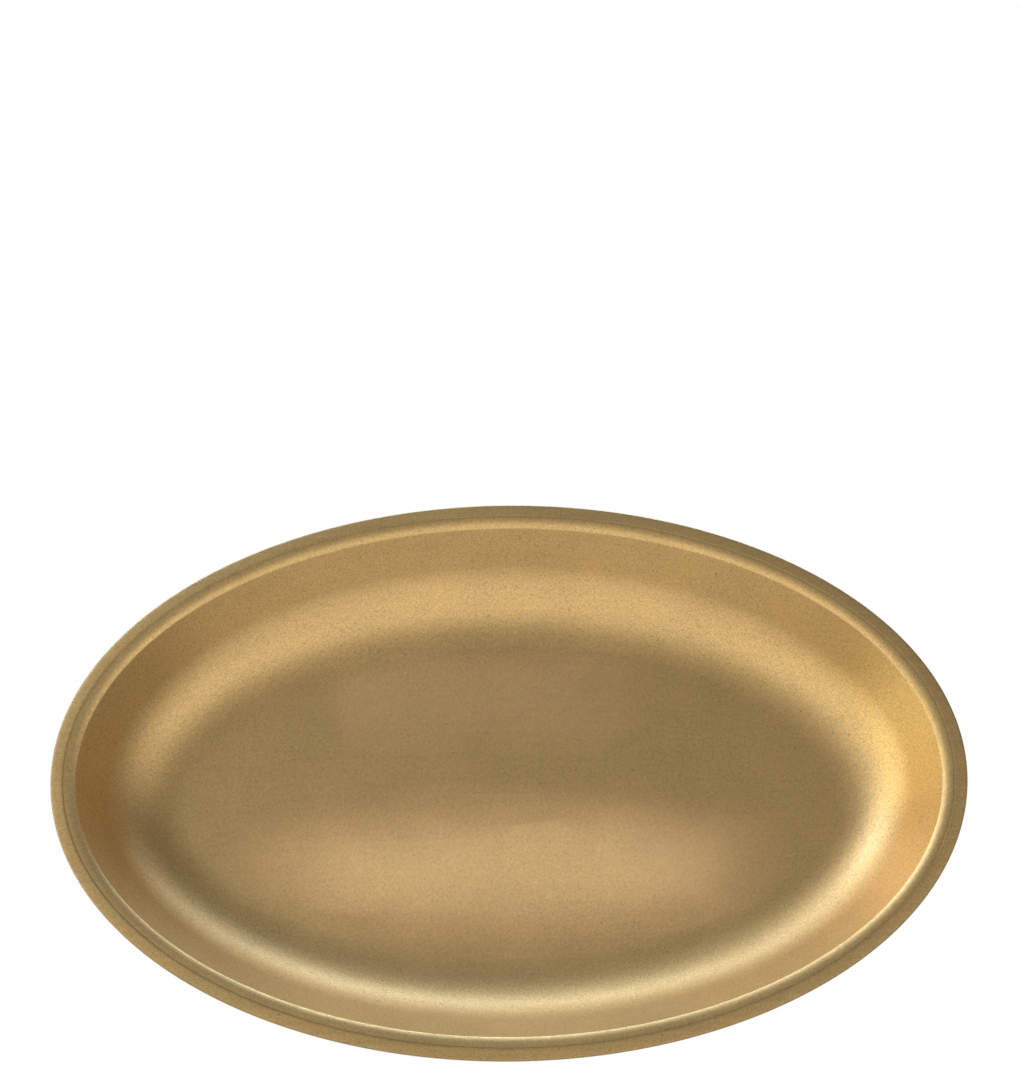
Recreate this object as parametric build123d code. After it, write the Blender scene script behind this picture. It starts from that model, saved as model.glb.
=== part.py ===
# Oval brass tray, in two pieces. The pan is pressed from one sheet: a flat floor, a wide cove, a
# leaning wall, a tight bend, a rolled shoulder and, past a small step, a flat ledge. The rim band
# is a thin strip folded over that ledge, its upper leaf flush with the top of the shoulder.
# Millimetres, +Z up. The origin is on the table, under the middle of the tray, with X along it.
import os
from math import cos, radians, sin, tan

from build123d import *

os.makedirs("parts", exist_ok=True)

# Overall sizes
tray_length = 310.0
tray_width = 200.0
tray_height = 25.0

# Pressed pan. Radii are those of the upper surface, and slopes are down from level.
sheet_thickness = 0.8
shoulder_radius = 7.6
shoulder_slope = 30.0  # where the shoulder ends; it starts level
bend_radius = 1.6  # from the shoulder into the wall
wall_slope = 50.0
cove_radius = 34.0  # from the wall into the floor
step_slope = 60.0

# Folded rim band
band_thickness = 0.35
upper_leaf_width = 4.0
fold_radius = 0.2  # inside the fold

# Clearances between the two
edge_clearance = 0.2  # from the pan's cut edge to the inside of the fold
seam_clearance = 0.15  # from the upper leaf's edge to the foot of the step
under_leaf_clearance = 1.0  # from the under leaf's edge to the end of the ledge

# The pressed border runs on this far over the flat floor, where it becomes one with the plate.
floor_lap = 0.5

# Heights. The step is as deep as the leaf that lies in it.
rim_top = tray_height
ledge_top = rim_top - band_thickness
lip_bottom = ledge_top - sheet_thickness - band_thickness
floor_top = sheet_thickness

# Distances in from the outline
ledge_start = band_thickness + edge_clearance
ledge_end = upper_leaf_width + seam_clearance
step_run = band_thickness / tan(radians(step_slope))
under_leaf_end = ledge_end - under_leaf_clearance


def arc_run(radius, slope_from, slope_to):
    """How far in an arc gets while its slope goes from one angle to the other."""
    return radius * abs(sin(radians(slope_to)) - sin(radians(slope_from)))


def arc_drop(radius, slope_from, slope_to):
    """How far down the same arc gets."""
    return radius * abs(cos(radians(slope_to)) - cos(radians(slope_from)))


# The straight wall takes up whatever height the rest leaves it.
shoulder_drop = arc_drop(shoulder_radius, 0, shoulder_slope)
bend_drop = arc_drop(bend_radius, shoulder_slope, wall_slope)
wall_drop = rim_top - shoulder_drop - bend_drop - arc_drop(cove_radius, wall_slope, 0) - floor_top
wall_run = wall_drop / tan(radians(wall_slope))
shoulder_run = arc_run(shoulder_radius, 0, shoulder_slope)
bend_run = arc_run(bend_radius, shoulder_slope, wall_slope)
wall_start = ledge_end + step_run + shoulder_run + bend_run
floor_start = wall_start + wall_run + arc_run(cove_radius, wall_slope, 0)


def pan_section():
    """The sheet's section from its cut edge to the flat floor, drawn along its upper face."""
    ledge = Line((ledge_start, ledge_top), (ledge_end, ledge_top))
    step = Line(ledge @ 1, ledge @ 1 + (step_run, band_thickness))
    shoulder = JernArc(step @ 1, (1, 0), shoulder_radius, -shoulder_slope)
    bend = JernArc(shoulder @ 1, shoulder % 1, bend_radius, shoulder_slope - wall_slope)
    wall = Line(bend @ 1, bend @ 1 + (wall_run, -wall_drop))
    cove = JernArc(wall @ 1, wall % 1, cove_radius, wall_slope)
    floor = Line(cove @ 1, cove @ 1 + (floor_lap, 0))
    upper_face = Wire([ledge, step, shoulder, bend, wall, cove, floor])
    return make_face(offset(upper_face, sheet_thickness, side=Side.RIGHT))


def band_section():
    """The strip's section, folded from the upper leaf round the edge to the under leaf."""
    outer_face = FilletPolyline(
        (upper_leaf_width, rim_top),
        (0, rim_top),
        (0, lip_bottom),
        (under_leaf_end, lip_bottom),
        radius=fold_radius + band_thickness,
    )
    return make_face(offset(outer_face, band_thickness, side=Side.LEFT))


def carried_round(section):
    """One section carried round the oval outline, square to it all the way. The section's x
    runs inwards from the outline, and its y is height."""
    outline = Ellipse(tray_length / 2, tray_width / 2).wire()
    long_end = Plane(outline @ 0, x_dir=(-1, 0, 0), z_dir=(0, 1, 0))
    return sweep(long_end * section, path=outline)


def floor_plate():
    """The flat floor, inside the pressed border."""
    plate = offset(Ellipse(tray_length / 2, tray_width / 2), -floor_start - floor_lap / 2)
    return extrude(plate, sheet_thickness)


tray_pan = carried_round(pan_section()) + floor_plate()
rim_band = carried_round(band_section())

for node, piece in {"tray_pan": tray_pan, "rim_band": rim_band}.items():
    export_step(piece, f"parts/{node}.step")
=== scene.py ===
import math

import bpy
from mathutils import Matrix, Vector
from mathutils.kdtree import KDTree


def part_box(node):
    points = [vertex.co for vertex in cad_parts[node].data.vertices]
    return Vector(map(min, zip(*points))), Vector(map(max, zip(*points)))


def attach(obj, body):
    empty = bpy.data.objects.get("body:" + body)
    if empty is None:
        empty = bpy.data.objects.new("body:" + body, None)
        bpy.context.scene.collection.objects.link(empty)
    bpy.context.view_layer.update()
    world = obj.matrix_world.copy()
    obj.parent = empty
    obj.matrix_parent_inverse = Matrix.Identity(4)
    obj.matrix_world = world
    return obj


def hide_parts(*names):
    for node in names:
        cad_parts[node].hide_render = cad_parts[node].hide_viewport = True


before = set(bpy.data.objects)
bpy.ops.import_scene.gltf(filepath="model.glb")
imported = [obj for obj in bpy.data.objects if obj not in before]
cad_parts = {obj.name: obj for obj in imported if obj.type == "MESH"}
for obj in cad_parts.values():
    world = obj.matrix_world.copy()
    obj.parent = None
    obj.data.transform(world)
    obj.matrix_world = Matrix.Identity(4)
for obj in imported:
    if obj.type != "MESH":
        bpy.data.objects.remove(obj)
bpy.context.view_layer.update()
print("frame loaded")

mm = 0.001
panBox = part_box("tray_pan")
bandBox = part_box("rim_band")
halfLength = (bandBox[1][0] - bandBox[0][0]) / 2
halfWidth = (bandBox[1][1] - bandBox[0][1]) / 2
rimTop = bandBox[1][2]
lipBottom = bandBox[0][2]
panInset = halfLength - (panBox[1][0] - panBox[0][0]) / 2  # the pan's cut edge, inside the fold


def deselectAll():
    if bpy.context.object and bpy.context.object.mode != "OBJECT":
        bpy.ops.object.mode_set(mode="OBJECT")
    bpy.ops.object.select_all(action="DESELECT")


def pickFaces(piece, wanted):
    # selects only the faces that pass the test
    bpy.ops.mesh.select_mode(type="FACE")
    bpy.ops.mesh.select_all(action="DESELECT")
    bpy.ops.object.mode_set(mode="OBJECT")
    for face in piece.data.polygons:
        face.select = wanted(face)
    bpy.ops.object.mode_set(mode="EDIT")


def stepIn(run, drop):
    # one ring of the section: the picked face shrinks by run all round and moves down by drop
    bpy.ops.mesh.inset(thickness=run, depth=0, use_even_offset=True)
    bpy.ops.transform.translate(value=(0, 0, -drop))


def slopeIn(run, slope, rings):
    for ring in range(rings):
        stepIn(run / rings, run / rings * math.tan(math.radians(slope)))


def arcIn(radius, slopeFrom, slopeTo, rings):
    # rings along an arc whose slope changes evenly
    turn = (slopeTo - slopeFrom) / rings
    for ring in range(rings):
        first = math.radians(slopeFrom + turn * ring)
        last = math.radians(slopeFrom + turn * (ring + 1))
        run = radius * abs(math.sin(last) - math.sin(first))
        drop = radius * abs(math.cos(last) - math.cos(first))
        stepIn(run, drop)


def outlineTree(count=4000):
    # points along the tray's oval outline, to measure how far in a point lies
    tree = KDTree(count)
    for index in range(count):
        turn = 2 * math.pi * index / count
        tree.insert((halfLength * math.cos(turn), halfWidth * math.sin(turn), 0), index)
    tree.balance()
    return tree


outline = outlineTree()


def fromOutline(point):
    return outline.find((point[0], point[1], 0))[2]


def finishPiece(piece, thickness, smoothAngle=40, mergeDistance=0.01 * mm):
    # merge and turn outwards, thicken the skin to sheet metal, shade
    bpy.ops.mesh.select_all(action="SELECT")
    bpy.ops.mesh.remove_doubles(threshold=mergeDistance)
    bpy.ops.mesh.normals_make_consistent(inside=False)
    bpy.ops.object.mode_set(mode="OBJECT")
    bpy.ops.object.modifier_add(type="SOLIDIFY")
    skin = piece.modifiers[-1]
    skin.thickness = thickness
    skin.offset = -1
    skin.use_even_offset = True
    bpy.ops.object.modifier_apply(modifier=skin.name)
    bpy.ops.object.shade_smooth_by_angle(angle=math.radians(smoothAngle))
    # the brass reads this to lay its painted shade along the seam and the fold
    inset = piece.data.attributes.new("fromEdge", "FLOAT", "POINT")
    for vertex in piece.data.vertices:
        inset.data[vertex.index].value = fromOutline(vertex.co)


# the strip folded over the pan's ledge
bandShape = {
    "around": 400,  # sides of the oval
    "thickness": 0.35 * mm,
    "foldRadius": 0.55 * mm,  # outside the fold
    "upperLeaf": 4.25 * mm,
    "underLeaf": 3.15 * mm,
    "softEdge": 0.05 * mm,  # rounding of each leaf's cut edge
    "droop": 0.16 * mm,  # the border falls this much from its inner edge to its fold
    "foldRings": 6,
    "leafRings": 5,
}


def droopRise(start, end):
    # how far the drooping border rises from one inset to another
    leaf = bandShape["upperLeaf"]
    curve = bandShape["droop"] / leaf**2
    return curve * ((leaf - start) ** 2 - max(leaf - end, 0) ** 2)


def levelIn(start, end, rings):
    # rings over the border, each as high as the droop leaves it
    for ring in range(rings):
        near = start + (end - start) * ring / rings
        far = start + (end - start) * (ring + 1) / rings
        stepIn(far - near, -droopRise(near, far))


# the pan's pressed section, measured in from the tray's outline
panShape = {
    "around": 400,
    "sheet": 0.8 * mm,
    "step": 0.35 * mm,  # how far the ledge lies under the rim
    "ledgeEnd": 4.28 * mm,
    "stepSlope": 80,
    "shoulderRadius": 7.6 * mm,
    "shoulderSlope": 30,
    "bendRadius": 1.6 * mm,
    "wallSlope": 50,
    "coveRadius": 34 * mm,
    "ledgeRings": 4,
    "stepRings": 2,
    "shoulderRings": 9,
    "bendRings": 6,
    "wallRings": 6,
    "coveRings": 28,
    "floorRings": 2,
    "floorRingWidth": 4 * mm,
}


def makePan():
    shape = panShape
    deselectAll()
    bpy.ops.mesh.primitive_circle_add(vertices=shape["around"], radius=1, fill_type="NGON")
    pan = bpy.context.object
    pan.name = "trayPan"
    bpy.ops.object.mode_set(mode="EDIT")
    bpy.ops.transform.resize(value=(halfLength, halfWidth, 1))
    ledgeHeight = rimTop - shape["step"] - droopRise(panInset, shape["ledgeEnd"])
    bpy.ops.transform.translate(value=(0, 0, ledgeHeight))
    stepIn(panInset, 0)
    levelIn(panInset, shape["ledgeEnd"], shape["ledgeRings"])
    stepRun = shape["step"] / math.tan(math.radians(shape["stepSlope"]))
    slopeIn(stepRun, -shape["stepSlope"], shape["stepRings"])
    arcIn(shape["shoulderRadius"], 0, shape["shoulderSlope"], shape["shoulderRings"])
    arcIn(shape["bendRadius"], shape["shoulderSlope"], shape["wallSlope"], shape["bendRings"])
    # the straight wall takes up the height that is left above the cove
    bpy.ops.object.mode_set(mode="OBJECT")
    reached = min(vertex.co.z for vertex in pan.data.vertices)
    bpy.ops.object.mode_set(mode="EDIT")
    wallAngle = math.radians(shape["wallSlope"])
    coveDrop = shape["coveRadius"] * (1 - math.cos(wallAngle))
    wallDrop = reached - shape["sheet"] - coveDrop
    slopeIn(wallDrop / math.tan(wallAngle), shape["wallSlope"], shape["wallRings"])
    arcIn(shape["coveRadius"], shape["wallSlope"], 0, shape["coveRings"])
    for ring in range(shape["floorRings"]):
        stepIn(shape["floorRingWidth"], 0)
    # the ring outside the pan's cut edge goes
    pickFaces(pan, lambda face: fromOutline(face.center) < panInset and len(face.vertices) == 4)
    bpy.ops.mesh.delete(type="FACE")
    finishPiece(pan, shape["sheet"])
    return pan


def makeBand():
    shape = bandShape
    fold = shape["foldRadius"]
    foldRise = droopRise(fold, shape["upperLeaf"])
    bandTop = rimTop - foldRise
    bandBottom = lipBottom - foldRise
    deselectAll()
    bpy.ops.mesh.primitive_cylinder_add(
        vertices=shape["around"], radius=1, depth=1, end_fill_type="NGON"
    )
    band = bpy.context.object
    band.name = "rimBand"
    bpy.ops.object.mode_set(mode="EDIT")
    bpy.ops.transform.resize(value=(halfLength, halfWidth, bandTop - bandBottom - 2 * fold))
    bpy.ops.transform.translate(value=(0, 0, (bandTop + bandBottom) / 2))
    for side, leaf in ((1, shape["upperLeaf"]), (-1, shape["underLeaf"])):
        pickFaces(band, lambda face: face.normal.z * side > 0.9)  # the cap on this side
        turn = math.pi / 2 / shape["foldRings"]
        for ring in range(shape["foldRings"]):
            first, last = turn * ring, turn * (ring + 1)
            run = fold * (math.cos(first) - math.cos(last))
            stepIn(run, -side * fold * (math.sin(last) - math.sin(first)))
        levelIn(fold, leaf - shape["softEdge"], shape["leafRings"])
        stepIn(shape["softEdge"], side * shape["softEdge"] / 2)
        bpy.ops.mesh.delete(type="FACE")
    finishPiece(band, shape["thickness"])
    return band


pan = makePan()
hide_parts("tray_pan")
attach(pan, "root")
band = makeBand()
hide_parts("rim_band")
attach(band, "root")
print("pan and band made")


def linearColour(code):
    # sRGB hex to linear
    channels = [int(code[i : i + 2], 16) / 255 for i in (0, 2, 4)]
    return [c / 12.92 if c <= 0.04045 else ((c + 0.055) / 1.055) ** 2.4 for c in channels] + [1]


def addNode(tree, kind, inputs=None, output=0, **settings):
    # adds a node with its settings and links, and gives back the output to use
    node = tree.nodes.new(kind)
    for name, value in settings.items():
        setattr(node, name, value)
    for name, value in (inputs or {}).items():
        if isinstance(value, bpy.types.NodeSocket):
            tree.links.new(value, node.inputs[name])
        else:
            node.inputs[name].default_value = value
    return node.outputs[output] if len(node.outputs) else node


# brass pressed from sheet, tumbled to a soft satin and left to age: it shows gold where it is
# handled and olive where it has dulled, with brown painted shade along the seam and the fold
brassLook = {
    "gold": "e4bc79",
    "olive": "b5965f",
    # the brown serves the specks and the painted shade by the seam and fold; the dark is the
    # painted shade line in the seam
    "speckAndShade": "6b5632",
    "seam": "3a2d18",
    "roughness": 0.44,
    "roughSpread": 0.10,
    "coat": 0.6,  # the haze of old lacquer over the metal
    "coatRoughness": 0.35,
    "hatchTurns": (35, -50),  # two crossing directions of tumbling
    # tumbled hairlines and grain are near 0.1 mm: they are drawn coarser, so that they show
    "hatchLength": 1.5 * mm,
    "hatchWidth": 0.38 * mm,
    "grainSize": 0.5 * mm,
    "grainDepth": 0.02 * mm,
    "bumpStrength": 0.35,
    "speckSize": 0.8 * mm,
    "speckTone": 0.5,
    "patchSize": 26 * mm,
    "streakLength": 60 * mm,
    "streakWidth": 1.1 * mm,
    "hatchTone": 0.3,  # how far each pattern pushes the tone between olive and gold
    "grainTone": 0.35,
    "patchTone": 0.1,
    # painted shade along the seam: a thin dark line in it and a brown band spreading from it
    "seamPlace": 4.28 * mm,
    "seamWidth": 0.3 * mm,
    "seamTone": 0.04,
    "seamShadeWidth": 1.8 * mm,
    "seamShadeWander": 7 * mm,
    # painted shade on the outer edge of the fold
    "foldShadeWidth": 0.8 * mm,
    "foldShadeTone": 0.6,
}
noiseRoughness = 0.55


def agedBrass(name, streaks, seamShadeTone):
    # the last argument sets how strong the painted shade along the seam is
    look = brassLook
    olive, gold, brown, dark = (
        linearColour(look[part]) for part in ("olive", "gold", "speckAndShade", "seam")
    )
    material = bpy.data.materials.new(name)
    material.use_nodes = True
    tree = material.node_tree
    tree.nodes.clear()
    place = addNode(tree, "ShaderNodeTexCoord", output="Object")
    inset = addNode(tree, "ShaderNodeAttribute", output="Fac", attribute_name="fromEdge")

    # even patterns: size and detail
    even = {}
    for pattern, size, detail in (
        ("grain", look["grainSize"], 3),
        ("patches", look["patchSize"], 4),
        ("dots", look["speckSize"], 1),
        ("wander", look["seamShadeWander"], 4),
    ):
        even[pattern] = addNode(
            tree,
            "ShaderNodeTexNoise",
            {"Vector": place, "Scale": 1 / size, "Detail": detail, "Roughness": noiseRoughness},
            "Fac",
        )
    # drawn-out patterns: turn, length and width
    drawn = []
    for turn, length, width in (
        (look["hatchTurns"][0], look["hatchLength"], look["hatchWidth"]),
        (look["hatchTurns"][1], look["hatchLength"], look["hatchWidth"]),
        (0, look["streakLength"], look["streakWidth"]),
    ):
        along = addNode(
            tree, "ShaderNodeMapping", {"Vector": place, "Rotation": (0, 0, math.radians(turn))}
        )
        stretched = addNode(
            tree,
            "ShaderNodeVectorMath",
            {0: along, 1: (1 / length, 1 / width, 1 / width)},
            operation="MULTIPLY",
        )
        drawn.append(
            addNode(
                tree,
                "ShaderNodeTexNoise",
                {"Vector": stretched, "Scale": 1, "Detail": 2, "Roughness": noiseRoughness},
                "Fac",
            )
        )
    hatch = addNode(tree, "ShaderNodeMath", {0: drawn[0], 1: drawn[1]}, operation="MINIMUM")

    # gold and olive, mottled at every size
    mottle = 0.5
    for pattern, high, tone in (
        (hatch, 0.6, look["hatchTone"]),
        (even["grain"], 0.7, look["grainTone"]),
        (even["patches"], 0.7, look["patchTone"]),
        (drawn[2], 0.7, streaks),
    ):
        swing = addNode(
            tree,
            "ShaderNodeMapRange",
            {"Value": pattern, "From Min": 0.3, "From Max": high, "To Min": -tone, "To Max": tone},
        )
        mottle = addNode(tree, "ShaderNodeMath", {0: swing, 1: mottle}, operation="ADD")
    colour = addNode(
        tree, "ShaderNodeMix", {0: mottle, 6: olive, 7: gold}, output=2, data_type="RGBA"
    )

    # fine dark specks, thicker where the brass has dulled
    crowd = addNode(
        tree,
        "ShaderNodeMapRange",
        {
            "Value": even["patches"], "From Min": 0.35, "From Max": 0.65,
            "To Min": 0.04, "To Max": 0,
        },
    )
    crowded = addNode(tree, "ShaderNodeMath", {0: even["dots"], 1: crowd}, operation="ADD")
    specks = addNode(
        tree,
        "ShaderNodeMapRange",
        {
            "Value": crowded, "From Min": 0.68, "From Max": 0.78,
            "To Min": 0, "To Max": look["speckTone"],
        },
    )

    # painted shade that spreads from the seam by a wandering width, and a darker painted shade
    # line in the seam itself
    offset = addNode(
        tree, "ShaderNodeMath", {0: inset, 1: look["seamPlace"]}, operation="SUBTRACT"
    )
    distance = addNode(tree, "ShaderNodeMath", {0: offset}, operation="ABSOLUTE")
    reach = addNode(
        tree,
        "ShaderNodeMapRange",
        {
            "Value": even["wander"], "From Min": 0.3, "From Max": 0.7,
            "To Min": 0.3 * look["seamShadeWidth"], "To Max": look["seamShadeWidth"],
        },
    )
    spread = addNode(tree, "ShaderNodeMath", {0: distance, 1: reach}, operation="DIVIDE")
    seamShadeBand = addNode(
        tree,
        "ShaderNodeMapRange",
        {"Value": spread, "From Min": 0.2, "From Max": 1, "To Min": seamShadeTone, "To Max": 0},
        interpolation_type="SMOOTHSTEP",
    )
    seamShadeLine = addNode(
        tree,
        "ShaderNodeMapRange",
        {
            "Value": distance, "From Min": 0.3 * look["seamWidth"], "From Max": look["seamWidth"],
            "To Min": look["seamTone"], "To Max": 0,
        },
    )
    # painted shade: the outer edge of the fold is darkened to brown
    foldShade = addNode(
        tree,
        "ShaderNodeMapRange",
        {
            "Value": inset, "From Min": 0.1 * mm, "From Max": look["foldShadeWidth"],
            "To Min": look["foldShadeTone"], "To Max": 0,
        },
    )
    # specks, then the painted shade along the seam and on the fold
    for amount, shade in ((specks, brown), (seamShadeBand, brown), (seamShadeLine, dark), (foldShade, brown)):
        colour = addNode(
            tree, "ShaderNodeMix", {0: amount, 6: colour, 7: shade}, output=2, data_type="RGBA"
        )

    # rougher in the hollows of the grain and in the seam
    grainShare = addNode(tree, "ShaderNodeMath", {0: even["grain"], 1: 0.6}, operation="MULTIPLY")
    hollows = addNode(
        tree, "ShaderNodeMath", {0: hatch, 1: 0.4, 2: grainShare}, operation="MULTIPLY_ADD"
    )
    satin = addNode(
        tree,
        "ShaderNodeMapRange",
        {
            "Value": hollows, "From Min": 0.3, "From Max": 0.65,
            "To Min": look["roughness"] + look["roughSpread"] / 2,
            "To Max": look["roughness"] - look["roughSpread"] / 2,
        },
    )
    rough = addNode(
        tree, "ShaderNodeMath", {0: seamShadeLine, 1: 0.25, 2: satin}, operation="MULTIPLY_ADD"
    )

    raised = addNode(
        tree, "ShaderNodeMath", {0: hatch, 1: 1.5, 2: even["grain"]}, operation="MULTIPLY_ADD"
    )
    pitted = addNode(tree, "ShaderNodeMath", {0: raised, 1: specks}, operation="SUBTRACT")
    bump = addNode(
        tree,
        "ShaderNodeBump",
        {"Height": pitted, "Strength": look["bumpStrength"], "Distance": look["grainDepth"]},
    )
    surface = addNode(
        tree,
        "ShaderNodeBsdfPrincipled",
        {
            "Base Color": colour,
            "Metallic": 1,
            "Roughness": rough,
            "Coat Weight": look["coat"],
            "Coat Roughness": look["coatRoughness"],
            "Normal": bump,
        },
    )
    addNode(tree, "ShaderNodeOutputMaterial", {"Surface": surface})
    return material


# the last setting is how strong the painted shade along the seam is
pan.data.materials.append(agedBrass("tumbledPanBrass", streaks=0.05, seamShadeTone=0.15))
band.data.materials.append(agedBrass("foldedBandBrass", streaks=0.12, seamShadeTone=0.15))
print("brass made")

cameraView = {
    "lens": 147.7,  # mm
    "distance": 1.5,
    "elevation": 69.6,
    "lookAbove": 3.05,  # degrees that the lens points above the tray
    "roll": -0.46,
    "aside": 1 * mm,  # the lens stands this far right of the tray's middle
}


def makeCamera():
    view = cameraView
    rise = math.radians(view["elevation"])
    target = Vector((view["aside"], 0, (rimTop + lipBottom) / 2))
    away = Vector((0, -math.cos(rise), math.sin(rise))) * view["distance"]
    data = bpy.data.cameras.new("camera")
    data.lens = view["lens"]
    data.sensor_width = 36
    camera = bpy.data.objects.new("camera", data)
    bpy.context.collection.objects.link(camera)
    tilt = math.radians(90 - view["elevation"] + view["lookAbove"])
    camera.matrix_world = (
        Matrix.Translation(target + away)
        @ Matrix.Rotation(tilt, 4, "X")
        @ Matrix.Rotation(math.radians(view["roll"]), 4, "Z")
    )
    bpy.context.scene.camera = camera


makeCamera()

# soft panels round the tray: bearing 0 is behind it and 90 to its left, heights in degrees,
# distances and sizes in metres
studioLights = {
    "frontTop": {"bearing": 180, "height": 52, "distance": 1.6, "size": (2.8, 1.6), "glow": 1.0},
    "frontLow": {"bearing": 180, "height": 18, "distance": 1.7, "size": (3.0, 0.9), "glow": 0.43},
    "leftHigh": {"bearing": 95, "height": 50, "distance": 1.5, "size": (1.0, 1.0), "glow": 0.88},
    "leftLow": {
        "bearing": 88, "height": 22, "distance": 1.5, "size": (1.6, 0.8), "glow": 2.1,
        "tint": "ffffe2",
    },
    "rightHigh": {"bearing": 262, "height": 50, "distance": 1.5, "size": (1.0, 1.0), "glow": 0.9},
    "rightLow": {"bearing": 268, "height": 22, "distance": 1.5, "size": (1.4, 0.8), "glow": 0.2},
    "key": {
        "bearing": 50, "height": 34, "distance": 1.3, "size": (0.7, 0.6), "glow": 2.5,
        "tint": "e0ebff",
    },
    "keyBack": {
        "bearing": 34, "height": 26, "distance": 1.3, "size": (0.4, 0.5), "glow": 6.2,
        "tint": "e0ebff",
    },
    "backLow": {
        "bearing": 5, "height": 9, "distance": 1.5, "size": (1.0, 0.35), "glow": 7.6,
        "tint": "cbe2ff",
    },
    "backRight": {
        "bearing": 340, "height": 9, "distance": 1.5, "size": (0.8, 0.35), "glow": 4.3,
        "tint": "cbe2ff",
    },
    "rightBack": {"bearing": 308, "height": 24, "distance": 1.5, "size": (0.8, 0.7), "glow": 0.17},
    "backTop": {"bearing": 0, "height": 70, "distance": 1.2, "size": (0.6, 0.35), "glow": 0.33},
    "overhead": {"bearing": 180, "height": 82, "distance": 1.4, "size": (1.6, 0.6), "glow": 0.29},
    # narrow beams that lift the middle of the floor
    "nearBeam": {
        "bearing": 0, "height": 70, "distance": 1, "size": (0.15, 0.034), "glow": 0.026,
        "aim": (0, -0.025, 0), "spread": 2, "shape": "ELLIPSE",
    },
    "wideBeam": {
        "bearing": 0, "height": 70, "distance": 1, "size": (0.18, 0.038), "glow": 0.017,
        "aim": (0, -0.0245, 0), "spread": 2.2, "shape": "ELLIPSE",
    },
    "farBeam": {
        "bearing": 0, "height": 70, "distance": 1, "size": (0.1, 0.032), "glow": 0.011,
        "aim": (-0.008, 0.04, 0), "spread": 1.4,
    },
}


def hangLight(
    name, bearing, height, distance, size, glow,
    tint="ffffff", aim=(0, 0, 0), spread=180, shape="RECTANGLE",
):
    turn, rise = math.radians(bearing), math.radians(height)
    back = Vector(
        (-math.sin(turn) * math.cos(rise), math.cos(turn) * math.cos(rise), math.sin(rise))
    )
    data = bpy.data.lights.new(name, "AREA")
    data.shape = shape
    data.size, data.size_y = size
    data.spread = math.radians(spread)
    data.color = linearColour(tint)[:3]
    data.energy = glow * math.pi * size[0] * size[1]  # glow is how bright the panel looks
    light = bpy.data.objects.new(name, data)
    light.location = Vector(aim) + back * distance
    light.rotation_mode = "QUATERNION"
    light.rotation_quaternion = back.to_track_quat("Z", "Y")
    light.visible_camera = False
    bpy.context.collection.objects.link(light)


for name, light in studioLights.items():
    hangLight(name, **light)

room = {
    "floorSize": 8,
    "floorColour": "f4f4f4",
    "floorGlow": 0.15,
    "seenGlow": 1,  # floor and surroundings are plain white to the camera
    "worldGlow": 0.085,  # what the surroundings add to the tray
}


def makeRoom():
    white = linearColour("ffffff")
    deselectAll()
    bpy.ops.mesh.primitive_plane_add(size=room["floorSize"])
    floor = bpy.context.object
    floor.name = "studioFloor"
    material = bpy.data.materials.new("paleFloor")
    material.use_nodes = True
    tree = material.node_tree
    tree.nodes.clear()
    matt = addNode(
        tree,
        "ShaderNodeBsdfPrincipled",
        {
            "Base Color": linearColour(room["floorColour"]),
            "Roughness": 0.9,
            "Emission Color": white,
            "Emission Strength": room["floorGlow"],
        },
    )
    lit = addNode(tree, "ShaderNodeEmission", {"Color": white, "Strength": room["seenGlow"]})
    seen = addNode(tree, "ShaderNodeLightPath", output="Is Camera Ray")
    surface = addNode(tree, "ShaderNodeMixShader", {0: seen, 1: matt, 2: lit})
    addNode(tree, "ShaderNodeOutputMaterial", {"Surface": surface})
    floor.data.materials.append(material)

    world = bpy.data.worlds.new("studio")
    bpy.context.scene.world = world
    world.use_nodes = True
    tree = world.node_tree
    tree.nodes.clear()
    dim = addNode(tree, "ShaderNodeBackground", {"Color": white, "Strength": room["worldGlow"]})
    pale = addNode(tree, "ShaderNodeBackground", {"Color": white, "Strength": room["seenGlow"]})
    seen = addNode(tree, "ShaderNodeLightPath", output="Is Camera Ray")
    mixed = addNode(tree, "ShaderNodeMixShader", {0: seen, 1: dim, 2: pale})
    addNode(tree, "ShaderNodeOutputWorld", {"Surface": mixed})
    bpy.context.scene.view_settings.view_transform = "Standard"


makeRoom()
print("camera, lights and room made")

deselectAll()
